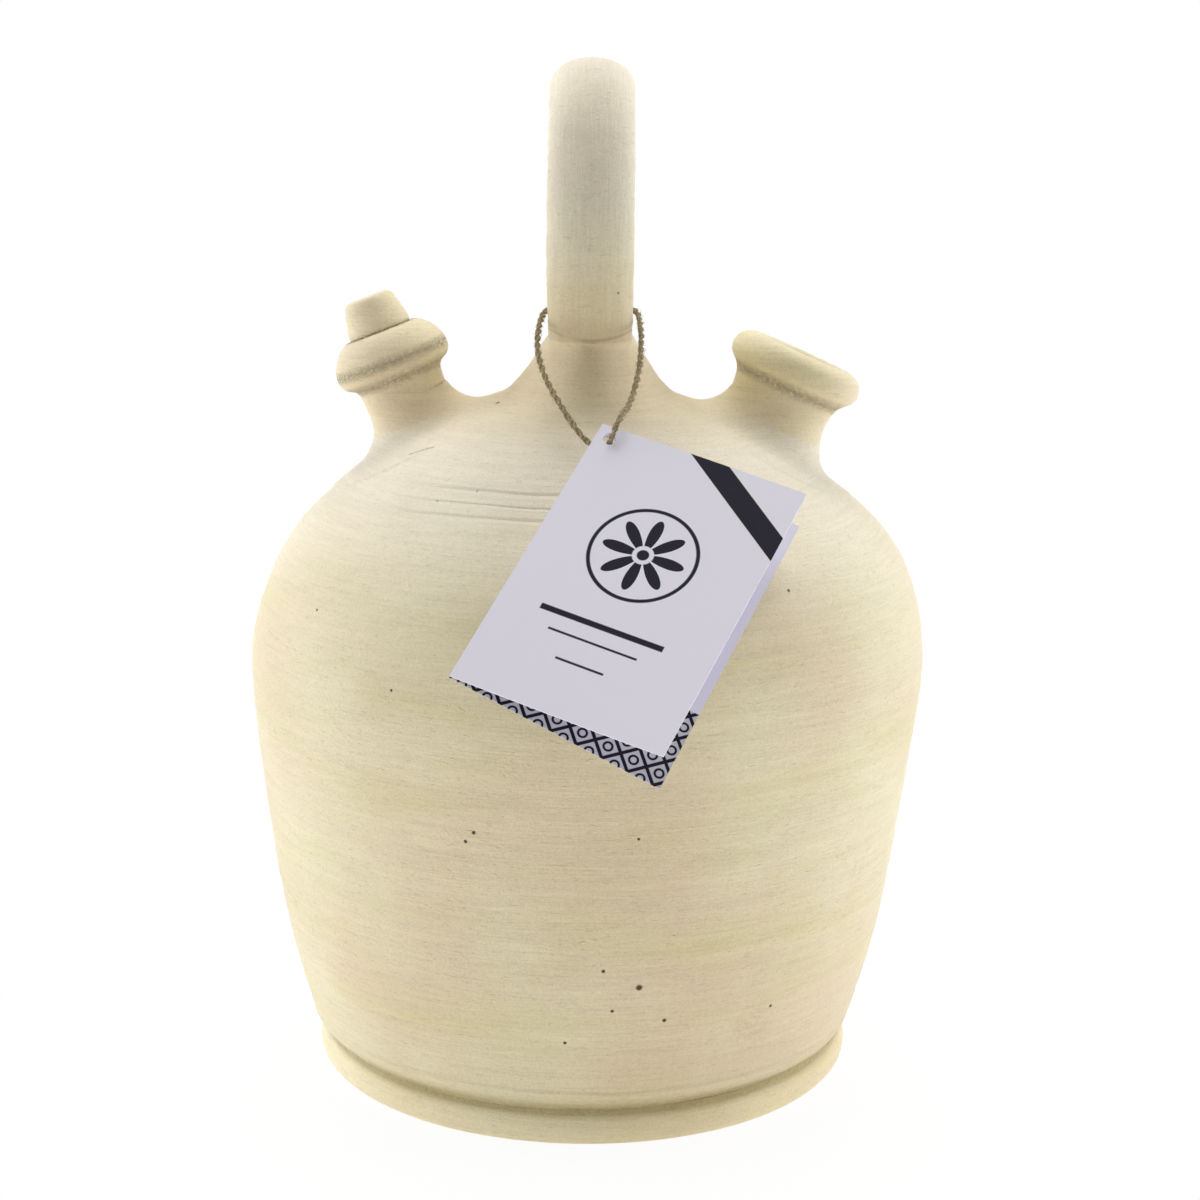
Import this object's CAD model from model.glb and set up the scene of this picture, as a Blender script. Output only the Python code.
import math
import bmesh
import bpy
import numpy as np
from mathutils import Matrix, Vector, noise
from mathutils.bvhtree import BVHTree


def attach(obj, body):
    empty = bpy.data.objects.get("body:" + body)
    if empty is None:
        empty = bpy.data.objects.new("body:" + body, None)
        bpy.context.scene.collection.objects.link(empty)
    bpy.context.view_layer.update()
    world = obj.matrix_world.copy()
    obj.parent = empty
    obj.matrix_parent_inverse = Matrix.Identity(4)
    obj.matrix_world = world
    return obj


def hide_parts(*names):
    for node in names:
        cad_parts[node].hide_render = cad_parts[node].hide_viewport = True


# Unglazed clay water jug with a ring handle, a filling mouth, a drinking spout and a hung card tag
# Metres, in the frame of the solids: +Z up, the mouth towards +X, the card on the -Y side

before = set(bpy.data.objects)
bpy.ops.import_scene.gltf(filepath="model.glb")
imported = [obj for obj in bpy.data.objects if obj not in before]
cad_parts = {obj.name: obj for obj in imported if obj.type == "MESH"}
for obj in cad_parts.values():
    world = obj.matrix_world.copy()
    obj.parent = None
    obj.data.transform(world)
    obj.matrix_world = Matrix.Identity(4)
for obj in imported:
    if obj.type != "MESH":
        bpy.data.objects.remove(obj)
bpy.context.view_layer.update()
mm = 0.001

# Camera
camera_distance = 650 * mm
camera_height = 275.7 * mm
camera_lens = 63.03
camera_pitch = 11.39
camera_yaw = 0.33
camera_roll = 0.72

# Twine
twine_route = [
    (0.0027, -0.0620, 0.1998), (-0.0012, -0.0603, 0.2024), (-0.0058, -0.0560, 0.2080),
    (-0.0108, -0.0490, 0.2150), (-0.0146, -0.0415, 0.2217), (-0.0159, -0.0335, 0.2283),
    (-0.0152, -0.0250, 0.2333), (-0.0139, -0.0160, 0.2364), (-0.0080, -0.0106, 0.2389),
    (0.0080, -0.0106, 0.2389), (0.0139, -0.0160, 0.2364), (0.0146, -0.0250, 0.2331),
    (0.0148, -0.0340, 0.2273), (0.0140, -0.0425, 0.2208),
    (0.0124, -0.0500, 0.2154), (0.0107, -0.0570, 0.2118), (0.0095, -0.0643, 0.2115),
    (0.0078, -0.0697, 0.2092), (0.0062, -0.0703, 0.2058), (0.0048, -0.0640, 0.2007),
]
ply_radius = 0.52 * mm
ply_offset = 0.40 * mm
ply_pitch = 6.4 * mm
ply_sides = 14
fibre_count = 420

# Knot
knot_centre = Vector((0.00464, -0.06215, 0.19935))
knot_size = 0.62 * mm
knot_ply = 0.70 * mm

# Card
hole_centre = Vector((0.0053, -0.0661034, 0.2028))
leaf_direction = Vector((0.887654, -0.172799, -0.426863))
outward = Vector((0.141663, -0.779522, 0.610145))
up_fold = Vector((0.438181, 0.602068, 0.667466))
leaf_width = 62 * mm
leaf_height = 90 * mm
leaf_thickness = 0.32 * mm
hole_radius = 2.0 * mm
hole_inset = 4.2 * mm
fold_axis_height = 0.8 * mm
card_opening = 15.5

# Clay
voxel = 1.0 * mm
handle_foot = 227.5 * mm
shoulder_joint = 174.0 * mm
crown_joint = 212.5 * mm
neck_joint = 7.0 * mm
mouth_root = Vector((53.4 * mm, 0, 194.9 * mm))
mouth_tilt = 23.5
spout_root = Vector((-51.2 * mm, 0, 194.8 * mm))
spout_tilt = -21.5
neck_reach = 26.0 * mm
# Sideways wander of the thrown wall from the axis, as height and shift
wander = [
    (0, -0.2), (12, -0.4), (60, -0.6), (105, -0.6), (129, 0.0), (142, 0.45), (153, 1.0), (165, 1.1),
    (177, 0.5), (188, -0.3), (235, -0.4), (311, -0.5),
]

# Outlines of the turned parts, as radius and height in millimetres
rim_start = 14.0 * mm
rim_outline = [
    (15.75, 13.0), (15.95, 15.0), (16.2, 17.0), (16.7, 18.8), (17.7, 20.3), (19.0, 21.5), (20.2, 22.6),
    (20.9, 23.9), (21.1, 25.3), (20.9, 27.0), (20.2, 28.7), (18.8, 30.0), (17.0, 30.8), (15.4, 31.15),
    (14.0, 31.1), (12.7, 30.5), (11.7, 29.3), (11.15, 27.6), (11.0, 25.5), (11.0, 13.0),
]
collar_start = 15.0 * mm
collar_top = 36.6 * mm
collar_outline = [
    (12.9, 14.0), (12.95, 17.0), (13.1, 19.2), (13.6, 20.8), (14.6, 21.7), (16.0, 22.2), (17.1, 23.2),
    (17.8, 24.5), (18.0, 26.0), (17.9, 27.8), (17.3, 29.7), (16.3, 31.6), (15.0, 33.4), (13.4, 34.9),
    (11.8, 35.9), (10.3, 36.3), (9.7, 36.0), (9.5, 35.2),
]
nozzle_outline = [
    (9.0, -1.5), (9.85, -0.5), (9.95, 0.3), (9.7, 1.6), (9.15, 4.0), (8.45, 6.8), (7.85, 9.2),
    (7.5, 10.0), (6.9, 10.5), (5.9, 10.7), (4.2, 10.75), (3.0, 10.7), (2.5, 10.4), (2.25, 9.7),
    (2.25, 5.0), (7.0, -1.5),
]
foot_outline = [
    (0.0, 0.0), (83.9, 0.0), (84.7, 0.4), (85.0, 1.2), (85.1, 4.0), (85.0, 6.6), (84.6, 7.7), (83.9, 8.4),
    (83.0, 8.9), (82.3, 9.6), (82.0, 10.6),
]

# Light, with lamp powers in watts
lamp_size = 0.9
left_power = 8.4
right_power = 7.6
top_power = 8
ambient_strength = 0.31
floor_glow = 0.27


def link(piece):
    bpy.context.scene.collection.objects.link(piece)
    return piece


def mesh_piece(name, points, faces, smooth=True):
    """New mesh object from points and faces in the frame of the solids."""
    mesh = bpy.data.meshes.new(name)
    mesh.from_pydata([tuple(p) for p in points], [], [tuple(f) for f in faces])
    mesh.validate()
    mesh.polygons.foreach_set("use_smooth", [smooth] * len(mesh.polygons))
    return link(bpy.data.objects.new(name, mesh))


# Camera
yaw, pitch, roll = (math.radians(a) for a in (camera_yaw, camera_pitch, camera_roll))
level_right = Vector((math.cos(yaw), -math.sin(yaw), 0))
level_ahead = Vector((math.sin(yaw), math.cos(yaw), 0))
ahead = level_ahead * math.cos(pitch) - Vector((0, 0, math.sin(pitch)))
above = level_ahead * math.sin(pitch) + Vector((0, 0, math.cos(pitch)))
right = level_right * math.cos(roll) + above * math.sin(roll)
top = above * math.cos(roll) - level_right * math.sin(roll)
camera_data = bpy.data.cameras.new("camera")
camera_data.lens = camera_lens
camera_data.sensor_width = 36
camera_data.clip_start = 0.01
camera = link(bpy.data.objects.new("camera", camera_data))
camera_turn = Matrix((right, top, -ahead)).transposed().to_4x4()
camera.matrix_world = Matrix.Translation((0, -camera_distance, camera_height)) @ camera_turn
bpy.context.scene.camera = camera


# Twine: two plies twisted round the route's own smooth line
def smooth_line(points):
    """Points of the NURBS spline that has these control points."""
    curve = bpy.data.curves.new("route", "CURVE")
    curve.dimensions = "3D"
    curve.resolution_u = 16
    spline = curve.splines.new("NURBS")
    spline.points.add(len(points) - 1)
    for target, point in zip(spline.points, points):
        target.co = (*point, 1)
    spline.order_u = 3
    spline.use_endpoint_u = True
    holder = bpy.data.objects.new("route", curve)
    link(holder)
    bpy.context.view_layer.update()
    mesh = bpy.data.meshes.new_from_object(holder)
    line = np.array([v.co for v in mesh.vertices], float)
    bpy.data.objects.remove(holder)
    return line


def evenly(line, step):
    """The same line with evenly spaced points."""
    lengths = np.concatenate([[0], np.cumsum(np.linalg.norm(np.diff(line, axis=0), axis=1))])
    places = np.linspace(0, lengths[-1], int(lengths[-1] / step) + 1)
    return np.stack([np.interp(places, lengths, line[:, k]) for k in range(3)], axis=1), places


def carried_frames(line):
    """Directions along and across a line, without any twist of their own."""
    along = np.gradient(line, axis=0)
    along /= np.linalg.norm(along, axis=1)[:, None]
    side = np.cross(along[0], (0.0, 0.0, 1.0))
    side /= np.linalg.norm(side)
    sides = []
    for direction in along:
        side = side - direction * side.dot(direction)
        side /= np.linalg.norm(side)
        sides.append(side)
    sides = np.array(sides)
    return along, sides, np.cross(along, sides)


def tube(line, radii, sides):
    """Points and faces of a closed tube along a line."""
    along, side, lift = carried_frames(line)
    turns = np.linspace(0, 2 * math.pi, sides, endpoint=False)
    ring = np.cos(turns)[None, :, None] * side[:, None, :] + np.sin(turns)[None, :, None] * lift[:, None, :]
    points = (line[:, None, :] + ring * np.asarray(radii)[:, None, None]).reshape(-1, 3)
    faces = []
    for i in range(len(line) - 1):
        for j in range(sides):
            k = (j + 1) % sides
            faces.append((i * sides + j, i * sides + k, (i + 1) * sides + k, (i + 1) * sides + j))
    faces.append(tuple(range(sides - 1, -1, -1)))
    faces.append(tuple(range((len(line) - 1) * sides, len(line) * sides)))
    return points, faces


def plies(line, places, radius, offset, pitch, sides, count=2):
    """Points and faces of plies twisted round a line."""
    along, side, lift = carried_frames(line)
    points, faces = [], []
    for ply in range(count):
        turn = 2 * math.pi * (places / pitch + ply / count)
        centre = line + offset * (np.cos(turn)[:, None] * side + np.sin(turn)[:, None] * lift)
        wobble = 1 + 0.12 * np.sin(places / (1.9 * mm) + 2 * ply) + 0.08 * np.sin(places / (0.53 * mm) + ply)
        made, made_faces = tube(centre, radius * wobble, sides)
        faces += [tuple(i + sum(len(p) for p in points) for i in f) for f in made_faces]
        points.append(made)
    return np.concatenate(points), faces


twine_line, twine_places = evenly(smooth_line(twine_route), 0.22 * mm)
twine = mesh_piece("twine", *plies(twine_line, twine_places, ply_radius, ply_offset, ply_pitch, ply_sides))

# Knot: a trefoil turn of the twine behind the card
turn = np.linspace(0, 2 * math.pi, 161)
trefoil = np.stack([np.sin(turn) + 2 * np.sin(2 * turn), np.cos(turn) - 2 * np.cos(2 * turn),
                    -1.3 * np.sin(3 * turn)], axis=1)
axes = np.array([leaf_direction, up_fold, outward])
knot_line = trefoil * knot_size @ axes + np.array(knot_centre)
knot = mesh_piece("knot", *tube(knot_line, np.full(len(knot_line), knot_ply), ply_sides))


# Stray fibres that stand off the twine
def fibre(start, directions, length, thickness):
    """One thin bent fibre from a point, as a tube."""
    steps = np.linspace(0, 1, 9)
    bend = np.array(directions[1]) * (steps ** 2)[:, None] + np.array(directions[0]) * steps[:, None]
    return tube(np.array(start) + bend * length, thickness * (1 - 0.7 * steps), 5)


random = np.random.default_rng(7)
fibre_points, fibre_faces = [], []
along, side, lift = carried_frames(twine_line)
for _ in range(fibre_count):
    at = random.integers(20, len(twine_line) - 20)
    turn_angle = random.uniform(0, 2 * math.pi)
    away = math.cos(turn_angle) * side[at] + math.sin(turn_angle) * lift[at]
    lean_along = random.uniform(-1, 1)
    start = twine_line[at] + away * 0.7 * mm
    made, made_faces = fibre(start, (away * 0.45 + along[at] * lean_along, along[at] * random.uniform(-1, 1)),
                             random.uniform(0.8, 2.2) * mm, random.uniform(0.04, 0.07) * mm)
    count = sum(len(p) for p in fibre_points)
    fibre_faces += [tuple(i + count for i in f) for f in made_faces]
    fibre_points.append(made)
fibres = mesh_piece("twine_fibres", np.concatenate(fibre_points), fibre_faces)

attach(twine, "string")
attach(knot, "string")
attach(fibres, "string")
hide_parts("string_loop")
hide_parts("string_knot")


# Clay walls: the solids' union, remeshed finely and smoothed, then given the potter's marks
def edges_of(mesh):
    pairs = np.zeros(len(mesh.edges) * 2, np.int64)
    mesh.edges.foreach_get("vertices", pairs)
    return pairs.reshape(-1, 2)


def points_of(mesh):
    points = np.zeros(len(mesh.vertices) * 3)
    mesh.vertices.foreach_get("co", points)
    return points.reshape(-1, 3)


def smoothed(points, pairs, rounds, weights):
    """Points after rounds of averaging with their neighbours, with a step back that keeps the volume."""
    count = len(points)
    valence = np.bincount(pairs.ravel(), minlength=count).astype(float)
    for _ in range(rounds):
        for step in (0.5, -0.52):
            total = np.zeros_like(points)
            for k in range(3):
                total[:, k] = (np.bincount(pairs[:, 0], weights=points[pairs[:, 1], k], minlength=count)
                               + np.bincount(pairs[:, 1], weights=points[pairs[:, 0], k], minlength=count))
            mean = total / np.maximum(valence, 1)[:, None]
            points = points + step * weights[:, None] * (mean - points)
    return points


def smoothstep(low, high, value):
    share = np.clip((value - low) / (high - low), 0, 1)
    return share * share * (3 - 2 * share)


def shift_at(height):
    heights, shifts = zip(*wander)
    return np.interp(height, np.array(heights) * mm, np.array(shifts) * mm)


def neck_height(points, root, tilt):
    """Height of points along a neck's own axis, and their distance from it."""
    lean = math.radians(tilt)
    axis = np.array([math.sin(lean), 0, math.cos(lean)])
    local = points - np.array(root)
    height = local @ axis
    return height, np.linalg.norm(local - height[:, None] * axis, axis=1)


def wavy(points, frequency, offset):
    """Smooth noise at points."""
    return np.array([noise.noise(Vector(p * frequency + offset)) for p in points])


union = bmesh.new()
for name in ("belly_wall", "shoulder_dome", "crown_cap", "handle_ring", "mouth_neck", "spout_neck"):
    union.from_mesh(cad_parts[name].data)
bmesh.ops.remove_doubles(union, verts=union.verts, dist=0.002 * mm)
union_mesh = bpy.data.meshes.new("clay_union")
union.to_mesh(union_mesh)
union.free()
holder = link(bpy.data.objects.new("clay_union", union_mesh))
remesh = holder.modifiers.new("remesh", "REMESH")
remesh.mode = "VOXEL"
remesh.voxel_size = voxel
remesh.adaptivity = 0
bpy.context.view_layer.update()
clay_mesh = bpy.data.meshes.new_from_object(holder.evaluated_get(bpy.context.evaluated_depsgraph_get()))
bpy.data.objects.remove(holder)

points = points_of(clay_mesh)
pairs = edges_of(clay_mesh)
radius = np.hypot(points[:, 0], points[:, 1])
mouth_height, mouth_distance = neck_height(points, mouth_root, mouth_tilt)
spout_height, spout_distance = neck_height(points, spout_root, spout_tilt)
rims = np.maximum(smoothstep(14 * mm, 20 * mm, mouth_height) * (mouth_distance < neck_reach),
                  smoothstep(17 * mm, 22 * mm, spout_height) * (spout_distance < neck_reach))
foot_edge = 1 - smoothstep(14 * mm, 20 * mm, points[:, 2])
keep = np.maximum(rims, foot_edge)
points = smoothed(points, pairs, 6, 1 - 0.6 * keep)
junction = np.exp(-((points[:, 2] - handle_foot) / (3.5 * mm)) ** 2)
points = smoothed(points, pairs, 30, junction)
clay_mesh.vertices.foreach_set("co", points.ravel())
clay_mesh.update()

normals = np.zeros(len(points) * 3)
clay_mesh.vertices.foreach_get("normal", normals)
normals = normals.reshape(-1, 3)
angle = np.arctan2(points[:, 1], points[:, 0])
height = points[:, 2]
turning = np.stack([np.cos(angle) * 0.1, np.sin(angle) * 0.1, height * 9], axis=1)
lathe = 1 - np.maximum(smoothstep(-2 * mm, 6 * mm, mouth_height) * (mouth_distance < neck_reach),
                       smoothstep(-2 * mm, 6 * mm, spout_height) * (spout_distance < neck_reach))
coarse = wavy(turning, 22.0, Vector((3, 1, 7)))
fine = wavy(turning, 70.0, Vector((9, 4, 2)))
lumps = wavy(points, 26.0, Vector((5, 5, 5)))
swell = (0.22 * coarse + 0.10 * fine) * lathe + 0.35 * lumps
outer = (normals[:, 0] * points[:, 0] + normals[:, 1] * points[:, 1]
         + normals[:, 2] * np.maximum(points[:, 2] - 0.15, 0)) > 0
flare = (np.exp(-((mouth_height - 5 * mm) / (7 * mm)) ** 2) * (mouth_distance < 32 * mm)
         * (mouth_distance > 13 * mm))
flare = flare + (np.exp(-((spout_height - 2 * mm) / (6 * mm)) ** 2) * (spout_distance < 32 * mm)
                 * (spout_distance > 10 * mm))
downhill = np.clip((np.abs(points[:, 0]) - 45 * mm) / (25 * mm), 0, 1)
swell = swell + 1.1 * flare * downhill
points = points + normals * (swell * mm * outer)[:, None]
points[:, 0] += shift_at(points[:, 2])
clay_mesh.vertices.foreach_set("co", points.ravel())
clay_mesh.update()
clay_mesh.polygons.foreach_set("use_smooth", [True] * len(clay_mesh.polygons))
clay_normals = np.zeros(len(points) * 3)
clay_mesh.vertices.foreach_get("normal", clay_normals)
clay_normals = clay_normals.reshape(-1, 3)


def region_of(centres):
    """Place of each face's node in the list of clay nodes. Faces of the turned rims get -1."""
    to_mouth, from_mouth = neck_height(centres, mouth_root, mouth_tilt)
    to_spout, from_spout = neck_height(centres, spout_root, spout_tilt)
    region = np.where(centres[:, 2] < shoulder_joint, 0, 1)
    region[centres[:, 2] > crown_joint] = 2
    region[centres[:, 2] > handle_foot] = 5
    region[(to_mouth > neck_joint) & (from_mouth < neck_reach)] = 3
    region[(to_spout > neck_joint) & (from_spout < neck_reach)] = 4
    region[(to_mouth > rim_start) & (from_mouth < neck_reach)] = -1
    region[(to_spout > collar_start) & (from_spout < neck_reach)] = -1
    return region


def cut_piece(name, mesh, mesh_points, mesh_normals, chosen):
    """Piece made of the chosen faces, with the whole mesh's normals so that no seam shows."""
    corners = [tuple(p.vertices) for p, wanted in zip(mesh.polygons, chosen) if wanted]
    used = np.unique([i for f in corners for i in f])
    places = np.full(len(mesh_points), -1)
    places[used] = np.arange(len(used))
    piece = mesh_piece(name, mesh_points[used], [[int(places[i]) for i in f] for f in corners])
    piece.data.normals_split_custom_set_from_vertices([tuple(n) for n in mesh_normals[used]])
    return piece


centres = np.zeros(len(clay_mesh.polygons) * 3)
clay_mesh.polygons.foreach_get("center", centres)
regions = region_of(centres.reshape(-1, 3))
clay_pieces = {}
clay_nodes = [("clay_belly", "belly_wall"), ("clay_shoulder", "shoulder_dome"), ("clay_crown", "crown_cap"),
              ("clay_mouth", "mouth_neck"), ("clay_spout", "spout_neck"), ("clay_handle", "handle_ring")]
for index, (name, node) in enumerate(clay_nodes):
    piece = cut_piece(name, clay_mesh, points, clay_normals, regions == index)
    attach(piece, "vessel")
    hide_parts(node)
    clay_pieces[name] = piece


def lathe_piece(name, outline, steps, root, tilt, spacing):
    """Turned piece from an outline of radius and height in millimetres, densely meshed."""
    dense, _ = evenly(np.array([(r, z, 0.0) for r, z in outline]), spacing)
    for _ in range(3):
        dense[1:-1] = (dense[:-2] + 2 * dense[1:-1] + dense[2:]) / 4
    dense = dense[:, :2]
    lean = math.radians(tilt)
    out = Vector((math.cos(lean), 0, -math.sin(lean)))
    up = Vector((math.sin(lean), 0, math.cos(lean)))
    made, faces = [], []
    for r, z in dense:
        for k in range(steps):
            turned = 2 * math.pi * k / steps
            away = out * math.cos(turned) + Vector((0, 1, 0)) * math.sin(turned)
            made.append(Vector(root) + away * r * mm + up * z * mm)
    for i in range(len(dense) - 1):
        for k in range(steps):
            nxt = (k + 1) % steps
            faces.append((i * steps + k, i * steps + nxt, (i + 1) * steps + nxt, (i + 1) * steps + k))
    piece = mesh_piece(name, made, faces)
    cleaned = bmesh.new()
    cleaned.from_mesh(piece.data)
    bmesh.ops.remove_doubles(cleaned, verts=cleaned.verts, dist=0.001 * mm)
    bmesh.ops.recalc_face_normals(cleaned, faces=cleaned.faces)
    cleaned.to_mesh(piece.data)
    cleaned.free()
    return piece


def axis_point(root, tilt, height):
    lean = math.radians(tilt)
    return Vector(root) + Vector((math.sin(lean), 0, math.cos(lean))) * height


# Turned rim, collar, nozzle and foot
turned_parts = [
    ("clay_rim", "mouth_neck", rim_outline, mouth_root, mouth_tilt, 160),
    ("clay_collar", "spout_neck", collar_outline, spout_root, spout_tilt, 144),
]
for name, node_name, outline, root, tilt, steps in turned_parts:
    piece = lathe_piece(name, outline, steps, root, tilt, 0.5)
    piece.data.transform(Matrix.Translation((shift_at(axis_point(root, tilt, rim_start).z), 0, 0)))
    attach(piece, "vessel")
    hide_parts(node_name)
    clay_pieces[name] = piece

nozzle_root = axis_point(spout_root, spout_tilt, collar_top)
nozzle = lathe_piece("clay_nozzle", nozzle_outline, 96, nozzle_root, spout_tilt, 0.8)
nozzle.data.transform(Matrix.Translation((shift_at(nozzle_root.z), 0, 0)))
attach(nozzle, "vessel")
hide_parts("spout_nozzle")
clay_pieces["clay_nozzle"] = nozzle

foot = lathe_piece("clay_foot", foot_outline, 360, (0, 0, 0), 0, 1.5)
foot.data.transform(Matrix.Translation((shift_at(0.0), 0, 0)))
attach(foot, "vessel")
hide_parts("foot_base")
clay_pieces["clay_foot"] = foot


# Card: two thin leaves that meet at the fold
def leaf_piece(name, origin, across, normal, bow):
    """Thin sheet with a punched hole, laid from an origin on the fold line. Bow bends it along its width."""
    columns, rows = 63, 90
    hole = Vector((hole_inset, 0))
    sheet = bmesh.new()
    grid = {}
    for i in range(columns):
        for j in range(rows):
            u = leaf_width * i / (columns - 1)
            v = hole_inset - leaf_height * j / (rows - 1)
            from_hole = Vector((u, v)) - hole
            if from_hole.length < 2.4 * mm:
                if from_hole.length < 1e-9:
                    from_hole = Vector((1e-5, 0))
                ring = hole_radius if from_hole.length < 1.45 * mm else max(from_hole.length, hole_radius)
                from_hole = from_hole.normalized() * ring
                u, v = (hole + from_hole)
            grid[i, j] = sheet.verts.new((u, v, 0))
    for i in range(columns - 1):
        for j in range(rows - 1):
            corners = [grid[i, j], grid[i, j + 1], grid[i + 1, j + 1], grid[i + 1, j]]
            centre = sum((Vector(c.co[:2]) for c in corners), Vector((0, 0))) / 4
            if (centre - hole).length > hole_radius * 0.93:
                sheet.faces.new(corners)
    bmesh.ops.remove_doubles(sheet, verts=sheet.verts, dist=0.01 * mm)
    uv = sheet.loops.layers.uv.new("card")
    for face in sheet.faces:
        for loop in face.loops:
            loop[uv].uv = (loop.vert.co.x / (100 * mm), (hole_inset - loop.vert.co.y) / (100 * mm))
    for vert in sheet.verts:
        vert.co.z = bow(vert.co.x / leaf_width, (hole_inset - vert.co.y) / leaf_height)
    mesh = bpy.data.meshes.new(name)
    sheet.to_mesh(mesh)
    sheet.free()
    piece = link(bpy.data.objects.new(name, mesh))
    thick = piece.modifiers.new("thickness", "SOLIDIFY")
    thick.thickness = leaf_thickness
    thick.offset = 0
    bpy.context.view_layer.update()
    solid = bpy.data.meshes.new_from_object(piece.evaluated_get(bpy.context.evaluated_depsgraph_get()))
    piece.modifiers.clear()
    piece.data = solid
    place = Matrix((across, up_fold, normal)).transposed().to_4x4()
    place.translation = origin
    solid.transform(place)
    solid.polygons.foreach_set("use_smooth", [True] * len(solid.polygons))
    solid.set_sharp_from_angle(angle=math.radians(35))
    return piece


fold_origin = hole_centre - leaf_direction * hole_inset
back_leaf = leaf_piece("card_back", fold_origin, leaf_direction, outward, lambda u, v: 0.0)
opened = math.radians(card_opening)
front_across = leaf_direction * math.cos(opened) + outward * math.sin(opened)
front_normal = outward * math.cos(opened) - leaf_direction * math.sin(opened)
front_leaf = leaf_piece("card_front", fold_origin + outward * fold_axis_height, front_across, front_normal,
                        lambda u, v: (2.2 * v - 0.8) * mm * u * u)
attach(back_leaf, "tag_back")
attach(front_leaf, "tag_front")
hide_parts("tag_back_leaf")
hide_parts("tag_front_leaf")


# Materials
def new_material(name):
    made_material = bpy.data.materials.new(name)
    made_material.use_nodes = True
    return made_material, made_material.node_tree


def node(tree, kind, inputs=None, **settings):
    """New shader node. An input is given a value or the socket that feeds it."""
    made_node = tree.nodes.new(kind)
    for key, value in settings.items():
        setattr(made_node, key, value)
    for key, value in (inputs or {}).items():
        if isinstance(value, bpy.types.NodeSocket):
            tree.links.new(value, made_node.inputs[key])
        else:
            made_node.inputs[key].default_value = value
    return made_node


def maths(tree, operation, a, b=0.0):
    return node(tree, "ShaderNodeMath", {0: a, 1: b}, operation=operation).outputs[0]


def blended(tree, share, a, b):
    return node(tree, "ShaderNodeMix", {0: share, 6: a, 7: b}, data_type="RGBA").outputs[2]


def linear(red, green, blue):
    """Shader colour from a colour as it looks on screen, 0 to 255."""
    values = [c / 255 for c in (red, green, blue)]
    return tuple(c / 12.92 if c <= 0.04045 else ((c + 0.055) / 1.055) ** 2.4 for c in values) + (1.0,)


def noise_at(tree, vector, scale, detail=3.0, roughness=0.55):
    return node(tree, "ShaderNodeTexNoise", {"Vector": vector, "Scale": scale, "Detail": detail,
                                             "Roughness": roughness}).outputs["Fac"]


def ranged(tree, value, low, high, to_low=0.0, to_high=1.0):
    return node(tree, "ShaderNodeMapRange", {"Value": value, "From Min": low, "From Max": high,
                                             "To Min": to_low, "To Max": to_high}).outputs[0]


clay_light = linear(238, 227, 192)
clay_pale = linear(238, 230, 212)
clay_pink = linear(233, 215, 182)
clay_olive = linear(226, 214, 164)
groove_olive = linear(176, 160, 100)
pit_colour = linear(84, 66, 44)
shoulder_lines = [(188.3, 0.8, 0.7), (185.0, 0.5, 0.5), (181.8, 0.8, 0.65)]
# Pits in the wall, as azimuth in degrees, height and radius in millimetres
# The last four, on the sides and the back, are guessed
pits = [
    (-107.4, 99.0, 0.55), (-108.8, 96.1, 0.5), (-86.8, 58.8, 0.55), (-80.7, 53.3, 0.95), (-85.1, 45.9, 0.5),
    (-75.8, 41.9, 0.6), (-54.3, 40.4, 0.5), (-93.2, 35.3, 0.5), (-54.5, 163.7, 0.5), (-81.8, 98.7, 0.4),
    (-126.0, 184.8, 0.45), (-117.3, 188.1, 0.45), (-151.1, 208.3, 0.7), (-121.0, 136.8, 0.4),
    (-141.1, 153.5, 0.4),
    (35.0, 120.0, 0.7), (80.0, 64.0, 0.6), (128.0, 96.0, 0.8), (160.0, 150.0, 0.6),
]
wall_tree = BVHTree.FromPolygons([tuple(p) for p in points], [tuple(f.vertices) for f in clay_mesh.polygons])


def on_wall(azimuth, height):
    """Point of the outer wall at an azimuth and height."""
    away = Vector((math.cos(math.radians(azimuth)), math.sin(math.radians(azimuth)), 0))
    return wall_tree.ray_cast(away * 0.2 + Vector((0, 0, height * mm)), -away)[0]


def near_line(tree, value, centre, half_width):
    """1 on a line and 0 beyond its half width."""
    distance = maths(tree, "ABSOLUTE", maths(tree, "SUBTRACT", value, centre))
    return ranged(tree, distance, 0.0, half_width, 1.0, 0.0)


def near_point(tree, place, point, radius):
    """1 round a point, 0 beyond the radius, with a soft edge."""
    distance = node(tree, "ShaderNodeVectorMath", {0: place, 1: tuple(point)},
                    operation="DISTANCE").outputs["Value"]
    return ranged(tree, distance, radius * 0.55, radius * 1.1, 1.0, 0.0)


def larger(tree, masks):
    """Largest of several masks."""
    result = masks[0]
    for mask in masks[1:]:
        result = maths(tree, "MAXIMUM", result, mask)
    return result


def product(tree, *factors):
    result = factors[0]
    for factor in factors[1:]:
        result = maths(tree, "MULTIPLY", result, factor)
    return result


def stretched(tree, place, tilt, scale):
    """Noise coordinates turned to a tilted axis and stretched."""
    return node(tree, "ShaderNodeMapping", {"Vector": place, "Rotation": (0, math.radians(-tilt), 0),
                                            "Scale": scale}).outputs[0]


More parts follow.
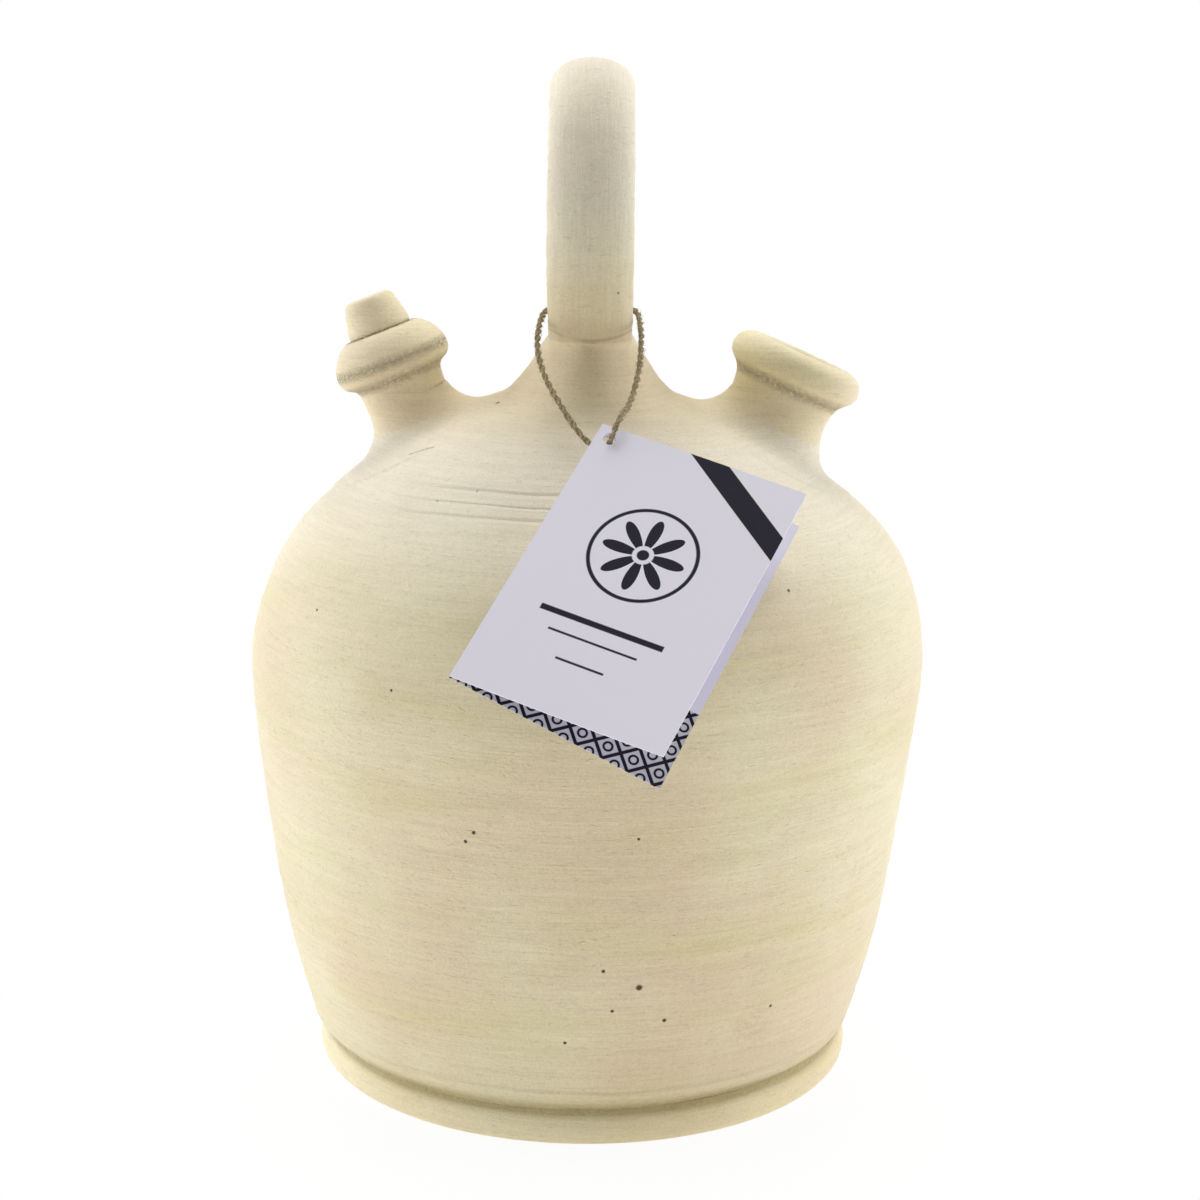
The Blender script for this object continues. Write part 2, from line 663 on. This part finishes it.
def clay_material(name, tilt=0.0, brushed=False, marks=None):
    """Matte unglazed clay with fine lines round its axis, or along the ring when brushed, and extra marks."""
    made_material, tree = new_material(name)
    shader = tree.nodes["Principled BSDF"]
    metres = node(tree, "ShaderNodeTexCoord").outputs["Object"]
    place = node(tree, "ShaderNodeVectorMath", {0: metres, "Scale": 1000.0}, operation="SCALE").outputs[0]
    broad_scale = (0.55, 0.03, 0.03) if brushed else (0.012, 0.012, 0.42)
    thin_scale = (1.7, 0.07, 0.07) if brushed else (0.05, 0.05, 1.5)
    broad = noise_at(tree, stretched(tree, place, tilt, broad_scale), 1.0, 2.0, 0.5)
    thin = noise_at(tree, stretched(tree, place, tilt, thin_scale), 1.0, 3.0, 0.6)
    dashes = noise_at(tree, stretched(tree, place, tilt, (0.28, 0.28, 1.0)), 1.0, 3.0, 0.65)
    grain = noise_at(tree, place, 1.5, 2.0, 0.6)
    patches = noise_at(tree, place, 0.016, 3.0, 0.5)
    tints = noise_at(tree, stretched(tree, place, tilt, (0.012, 0.012, 0.05)), 1.0, 4.0, 0.6)
    raised = ranged(tree, dashes, 0.60, 0.74)
    colour = blended(tree, ranged(tree, patches, 0.40, 0.62), clay_light, clay_pink)
    colour = blended(tree, ranged(tree, tints, 0.50, 0.72, 0.0, 0.7), colour, clay_olive)
    shade = product(tree, ranged(tree, broad, 0.3, 0.7, 0.975, 1.015),
                    ranged(tree, thin, 0.3, 0.7, 0.94, 1.03), ranged(tree, grain, 0.3, 0.7, 0.93, 1.05),
                    ranged(tree, dashes, 0.28, 0.42, 0.88, 1.0))
    height = maths(tree, "ADD", maths(tree, "MULTIPLY", thin, 0.35), maths(tree, "MULTIPLY", raised, 0.35))
    height = maths(tree, "ADD", height, maths(tree, "MULTIPLY", grain, 0.3))
    if marks:
        colour, shade, height = marks(tree, place, colour, shade, height)
    colour = node(tree, "ShaderNodeVectorMath", {0: colour, 1: shade}, operation="MULTIPLY").outputs[0]
    tree.links.new(colour, shader.inputs["Base Color"])
    shader.inputs["Roughness"].default_value = 0.75
    shader.inputs["Specular IOR Level"].default_value = 0.4
    shader.inputs["Sheen Weight"].default_value = 0.25
    shader.inputs["Sheen Roughness"].default_value = 0.45
    bump = node(tree, "ShaderNodeBump", {"Height": height, "Strength": 1.0, "Distance": 0.00042})
    tree.links.new(bump.outputs[0], shader.inputs["Normal"])
    return made_material


def body_marks(tree, place, colour, shade, height):
    """Turned lines on the front left of the shoulder, pits, a rough groove, a scratch and a rubbed patch."""
    parts = node(tree, "ShaderNodeSeparateXYZ", {0: place}).outputs
    azimuth = maths(tree, "MULTIPLY", maths(tree, "ARCTAN2", parts[1], parts[0]), 180 / math.pi)
    drift = noise_at(tree, place, 0.03, 1.0)
    level = maths(tree, "ADD", parts[2], ranged(tree, drift, 0.3, 0.7, -0.5, 0.5))
    visible = product(tree, ranged(tree, azimuth, -152, -122), ranged(tree, azimuth, -78, -55, 1.0, 0.0))
    lines = larger(tree, [maths(tree, "MULTIPLY", near_line(tree, level, at, width), depth)
                          for at, width, depth in shoulder_lines])
    lines = maths(tree, "MULTIPLY", lines, visible)
    ring_visible = product(tree, ranged(tree, azimuth, -112, -98), ranged(tree, azimuth, -76, -62, 1.0, 0.0))
    belly_line = product(tree, near_line(tree, level, 83.3, 0.9), ring_visible)
    rough = noise_at(tree, place, 0.6, 3.0, 0.7)
    groove = product(tree, ranged(tree, parts[2], 8.3, 9.2), ranged(tree, parts[2], 13.2, 15.8, 1.0, 0.0))
    groove = maths(tree, "MULTIPLY", groove, ranged(tree, rough, 0.3, 0.6, 0.75, 1.0))
    ridge = near_line(tree, level, 17.4, 1.2)
    crown = product(tree, ranged(tree, parts[2], 207, 219), ranged(tree, rough, 0.2, 0.8, 0.6, 1.0))
    hollow_place = [on_wall(azimuth_deg, height_mm) / mm for azimuth_deg, height_mm, _ in pits]
    pitted = larger(tree, [near_point(tree, place, point, pit[2]) for point, pit in zip(hollow_place, pits)])
    scratch_start, scratch_end = on_wall(-151.3, 194.2) / mm, on_wall(-144.9, 196.8) / mm
    scratch = larger(tree, [near_point(tree, place, scratch_start.lerp(scratch_end, k / 9), 0.42)
                            for k in range(10)])
    rubbed = product(tree, near_point(tree, place, on_wall(-57.7, 35.2) / mm, 8.5),
                     ranged(tree, rough, 0.42, 0.6))
    dirt = maths(tree, "MULTIPLY", rubbed, 0.22)
    colour = blended(tree, maths(tree, "MULTIPLY", groove, 0.55), colour, groove_olive)
    colour = blended(tree, maths(tree, "MULTIPLY", crown, 0.16), colour, groove_olive)
    olive = maths(tree, "MAXIMUM", maths(tree, "MULTIPLY", lines, 0.45), dirt)
    colour = blended(tree, olive, colour, groove_olive)
    dark = maths(tree, "MAXIMUM", pitted, maths(tree, "MULTIPLY", scratch, 0.6))
    colour = blended(tree, dark, colour, pit_colour)
    shade = product(tree, shade, ranged(tree, belly_line, 0.0, 1.0, 1.0, 0.965),
                    ranged(tree, parts[2], 7.5, 8.6, 1.16, 1.0))
    pale = product(tree, ranged(tree, parts[2], 150, 186), ranged(tree, parts[2], 198, 210, 1.0, 0.0))
    colour = blended(tree, maths(tree, "MULTIPLY", pale, 0.75), colour, clay_pale)
    carved = larger(tree, [maths(tree, "MULTIPLY", lines, 1.6), maths(tree, "MULTIPLY", pitted, 2.0),
                           scratch])
    height = maths(tree, "SUBTRACT", height, carved)
    height = maths(tree, "ADD", height, maths(tree, "MULTIPLY", ridge, 0.8))
    height = maths(tree, "ADD", height, maths(tree, "MULTIPLY", product(tree, groove, rough), 1.2))
    return colour, shade, height


def handle_marks(tree, place, colour, shade, height):
    """Luted seam at the ring's foot, a few pits and rubbed specks."""
    parts = node(tree, "ShaderNodeSeparateXYZ", {0: place}).outputs
    arc = maths(tree, "MULTIPLY", maths(tree, "MULTIPLY", parts[0], parts[0]), 0.019)
    level = maths(tree, "SUBTRACT", parts[2], arc)
    seam = near_line(tree, level, 228.3, 0.7)
    soft = noise_at(tree, place, 0.16, 2.0)
    seam = maths(tree, "MULTIPLY", seam, ranged(tree, soft, 0.35, 0.6, 0.35, 1.0))
    low = ranged(tree, parts[2], 226, 240, 1.0, 0.0)
    pale = ranged(tree, parts[2], 232, 275, 0.0, 0.7)
    colour = blended(tree, pale, colour, clay_pale)
    spots = [(-11.9, -27.2, 230.0, 0.8), (2.2, -45.0, 291.0, 0.5), (7.5, -38.0, 243.0, 0.5),
             (9.4, -40.5, 247.0, 0.45)]
    pitted = larger(tree, [near_point(tree, place, spot[:3], spot[3]) for spot in spots])
    colour = blended(tree, maths(tree, "MULTIPLY", low, 0.18), colour, groove_olive)
    shade = maths(tree, "MULTIPLY", shade, ranged(tree, parts[2], 230, 300, 0.86, 0.98))
    colour = blended(tree, maths(tree, "MULTIPLY", seam, 0.45), colour, groove_olive)
    colour = blended(tree, pitted, colour, pit_colour)
    height = maths(tree, "SUBTRACT", height, maths(tree, "ADD", maths(tree, "MULTIPLY", seam, 1.3), pitted))
    return colour, shade, height


def neck_marks(root, tilt, seams):
    """Marks of a neck: rough sandy bands square to its axis, as height, half width and strength."""
    lean = math.radians(tilt)
    direction = (math.sin(lean), 0, math.cos(lean))

    def marks(tree, place, colour, shade, height):
        away = node(tree, "ShaderNodeVectorMath", {0: place, 1: tuple(Vector(root) / mm)},
                    operation="SUBTRACT").outputs[0]
        level = node(tree, "ShaderNodeVectorMath", {0: away, 1: direction},
                     operation="DOT_PRODUCT").outputs["Value"]
        rough = noise_at(tree, place, 0.8, 4.0, 0.75)
        for at, half_width, strength in seams:
            band = maths(tree, "MULTIPLY", near_line(tree, level, at, half_width),
                         ranged(tree, rough, 0.42, 0.58))
            colour = blended(tree, maths(tree, "MULTIPLY", band, strength), colour, groove_olive)
            height = maths(tree, "ADD", height, maths(tree, "MULTIPLY", band, 1.1))
        return colour, shade, height

    return marks


body_clay = clay_material("clay_body", marks=body_marks)
mouth_clay = clay_material("clay_mouth_neck", mouth_tilt,
                           marks=neck_marks(mouth_root, mouth_tilt, [(19.5, 2.6, 0.5)]))
spout_seams = [(21.5, 2.4, 0.45), (27.0, 2.6, 0.25), (36.4, 0.5, 0.7)]
spout_clay = clay_material("clay_spout_neck", spout_tilt,
                           marks=neck_marks(spout_root, spout_tilt, spout_seams))
handle_clay = clay_material("clay_handle_ring", brushed=True, marks=handle_marks)
finishes = {"clay_mouth": mouth_clay, "clay_rim": mouth_clay, "clay_spout": spout_clay,
            "clay_collar": spout_clay, "clay_nozzle": spout_clay, "clay_handle": handle_clay}
for name, piece in clay_pieces.items():
    piece.data.materials.clear()
    piece.data.materials.append(finishes.get(name, body_clay))

card_paper = linear(241, 238, 253)
card_ink = linear(30, 28, 42)
card_grey = linear(208, 207, 218)


def card_material(name, print_on):
    """Smooth printed card. Its print is drawn from the card's own millimetre coordinates."""
    made_material, tree = new_material(name)
    shader = tree.nodes["Principled BSDF"]
    sheet = node(tree, "ShaderNodeUVMap", uv_map="card").outputs[0]
    parts = node(tree, "ShaderNodeSeparateXYZ", {0: sheet}).outputs
    across, down = (maths(tree, "MULTIPLY", parts[k], 100.0) for k in range(2))
    tree.links.new(print_on(tree, across, down), shader.inputs["Base Color"])
    shader.inputs["Roughness"].default_value = 0.55
    shader.inputs["Specular IOR Level"].default_value = 0.1
    return made_material


def polar(tree, across, down, centre):
    """Distance and angle of the card's points round a centre."""
    x = maths(tree, "SUBTRACT", across, centre[0])
    y = maths(tree, "SUBTRACT", down, centre[1])
    squares = maths(tree, "ADD", maths(tree, "MULTIPLY", x, x), maths(tree, "MULTIPLY", y, y))
    return maths(tree, "SQRT", squares), maths(tree, "ARCTAN2", y, x)


def below(tree, value, limit, softness=0.12):
    """1 where a value in millimetres is below a limit, with an edge as soft as print."""
    return ranged(tree, maths(tree, "SUBTRACT", value, limit), -softness, softness, 1.0, 0.0)


def front_print(tree, across, down):
    """Dark corner band with a pale outline, an eight-petalled rosette in a ring, and plain rules."""
    slanted = maths(tree, "SUBTRACT", down, maths(tree, "MULTIPLY", across, 0.70))
    from_middle = maths(tree, "ABSOLUTE", maths(tree, "ADD", slanted, 23.2))
    distance, turn_angle = polar(tree, across, down, (30.0, 36.0))
    lobes = maths(tree, "ABSOLUTE", maths(tree, "COSINE", maths(tree, "MULTIPLY", turn_angle, 4.0)))
    petal = maths(tree, "MULTIPLY", lobes, 12.0)
    rosette = product(tree, below(tree, distance, petal), below(tree, 3.0, distance))
    ring = below(tree, maths(tree, "ABSOLUTE", maths(tree, "SUBTRACT", distance, 14.8)), 0.55)
    centre = below(tree, distance, 1.7)
    rules = []
    for at, half, start, end in ((61.0, 0.9, 12.0, 48.0), (66.5, 0.35, 17.0, 43.0), (74.0, 0.35, 23.0, 37.0)):
        from_rule = maths(tree, "ABSOLUTE", maths(tree, "SUBTRACT", down, at))
        rules.append(product(tree, below(tree, from_rule, half), below(tree, start, across),
                             below(tree, across, end)))
    ink = larger(tree, [rosette, ring, centre] + rules)
    colour = blended(tree, ink, card_paper, card_ink)
    colour = blended(tree, below(tree, from_middle, 4.7), colour, (0.86, 0.86, 0.88, 1))
    return blended(tree, below(tree, from_middle, 4.1), colour, card_ink)


def inner_print(tree, across, down):
    """Pale grey band of diamonds with rings in them along the foot of the card."""
    pitch = 7.5
    sloped = [maths(tree, "DIVIDE", maths(tree, kind, across, down), pitch) for kind in ("ADD", "SUBTRACT")]
    cells = [maths(tree, "ABSOLUTE", maths(tree, "SUBTRACT", maths(tree, "FRACT", value), 0.5))
             for value in sloped]
    lattice = larger(tree, [ranged(tree, cell, 0.40, 0.42) for cell in cells])
    middle = maths(tree, "SQRT", maths(tree, "ADD", maths(tree, "MULTIPLY", cells[0], cells[0]),
                                 maths(tree, "MULTIPLY", cells[1], cells[1])))
    rings = ranged(tree, maths(tree, "ABSOLUTE", maths(tree, "SUBTRACT", middle, 0.22)), 0.05, 0.07, 1.0, 0.0)
    ink = maths(tree, "MAXIMUM", lattice, rings)
    band = below(tree, 66.0, down)
    colour = blended(tree, band, card_paper, card_grey)
    return blended(tree, product(tree, band, ink), colour, card_ink)


front_leaf.data.materials.append(card_material("card_front_print", front_print))
back_leaf.data.materials.append(card_material("card_inner_print", inner_print))

twine_material, tree = new_material("twine_jute")
shader = tree.nodes["Principled BSDF"]
place = node(tree, "ShaderNodeTexCoord").outputs["Object"]
strands = noise_at(tree, place, 1800.0, 4.0, 0.7)
colour = blended(tree, ranged(tree, strands, 0.35, 0.68), linear(88, 74, 50), linear(196, 178, 140))
tree.links.new(colour, shader.inputs["Base Color"])
shader.inputs["Roughness"].default_value = 0.85
bump = node(tree, "ShaderNodeBump", {"Height": strands, "Strength": 0.6, "Distance": 0.0002})
tree.links.new(bump.outputs[0], shader.inputs["Normal"])
for piece in (twine, knot, fibres):
    piece.data.materials.append(twine_material)


# Floor, lamps and world
floor = mesh_piece("floor", [(-3, -3, 0), (3, -3, 0), (3, 3, 0), (-3, 3, 0)], [(0, 1, 2, 3)], smooth=False)
floor_material, tree = new_material("floor_white")
shader = tree.nodes["Principled BSDF"]
shader.inputs["Base Color"].default_value = (0.93, 0.93, 0.93, 1)
shader.inputs["Roughness"].default_value = 0.9
seen = node(tree, "ShaderNodeLightPath")
white = node(tree, "ShaderNodeEmission", {"Color": (1, 1, 1, 1), "Strength": 1.0})
place = node(tree, "ShaderNodeTexCoord").outputs["Object"]
from_axis = node(tree, "ShaderNodeVectorMath", {0: place}, operation="LENGTH").outputs["Value"]
bare = maths(tree, "MULTIPLY", seen.outputs["Is Camera Ray"], ranged(tree, from_axis, 0.09, 0.20, 0.88, 1.0))
mixed = node(tree, "ShaderNodeMixShader", {0: bare, 1: shader.outputs[0], 2: white.outputs[0]})
shader.inputs["Emission Color"].default_value = (1, 1, 1, 1)
shader.inputs["Emission Strength"].default_value = floor_glow
tree.links.new(mixed.outputs[0], tree.nodes["Material Output"].inputs["Surface"])
floor.data.materials.append(floor_material)

world = bpy.data.worlds.new("studio")
bpy.context.scene.world = world
world.use_nodes = True
tree = world.node_tree
ambient = tree.nodes["Background"]
ambient.inputs["Color"].default_value = (1, 0.98, 0.90, 1)
ambient.inputs["Strength"].default_value = ambient_strength
backdrop = node(tree, "ShaderNodeBackground", {"Color": (1, 1, 1, 1), "Strength": 1.0})
seen = node(tree, "ShaderNodeLightPath")
shown = maths(tree, "MAXIMUM", seen.outputs["Is Camera Ray"], seen.outputs["Is Glossy Ray"])
mixed = node(tree, "ShaderNodeMixShader", {0: shown, 1: ambient.outputs[0], 2: backdrop.outputs[0]})
tree.links.new(mixed.outputs[0], tree.nodes["World Output"].inputs["Surface"])


def softbox(name, place, target, power, colour):
    lamp = bpy.data.lights.new(name, "AREA")
    lamp.color = colour
    lamp.size = lamp_size
    lamp.energy = power
    piece = link(bpy.data.objects.new(name, lamp))
    piece.location = place
    piece.rotation_mode = "QUATERNION"
    piece.rotation_quaternion = (Vector(target) - Vector(place)).to_track_quat("-Z", "Y")


cool = (0.92, 0.96, 1.0)
softbox("left_box", (-1.1, 0.25, 0.45), (0, 0, 0.16), left_power, cool)
softbox("right_box", (1.1, 0.25, 0.45), (0, 0, 0.16), right_power, cool)
softbox("top_box", (0, 0.25, 1.2), (0, 0, 0.15), top_power, (1, 1, 1))

bpy.context.scene.view_settings.view_transform = "Standard"
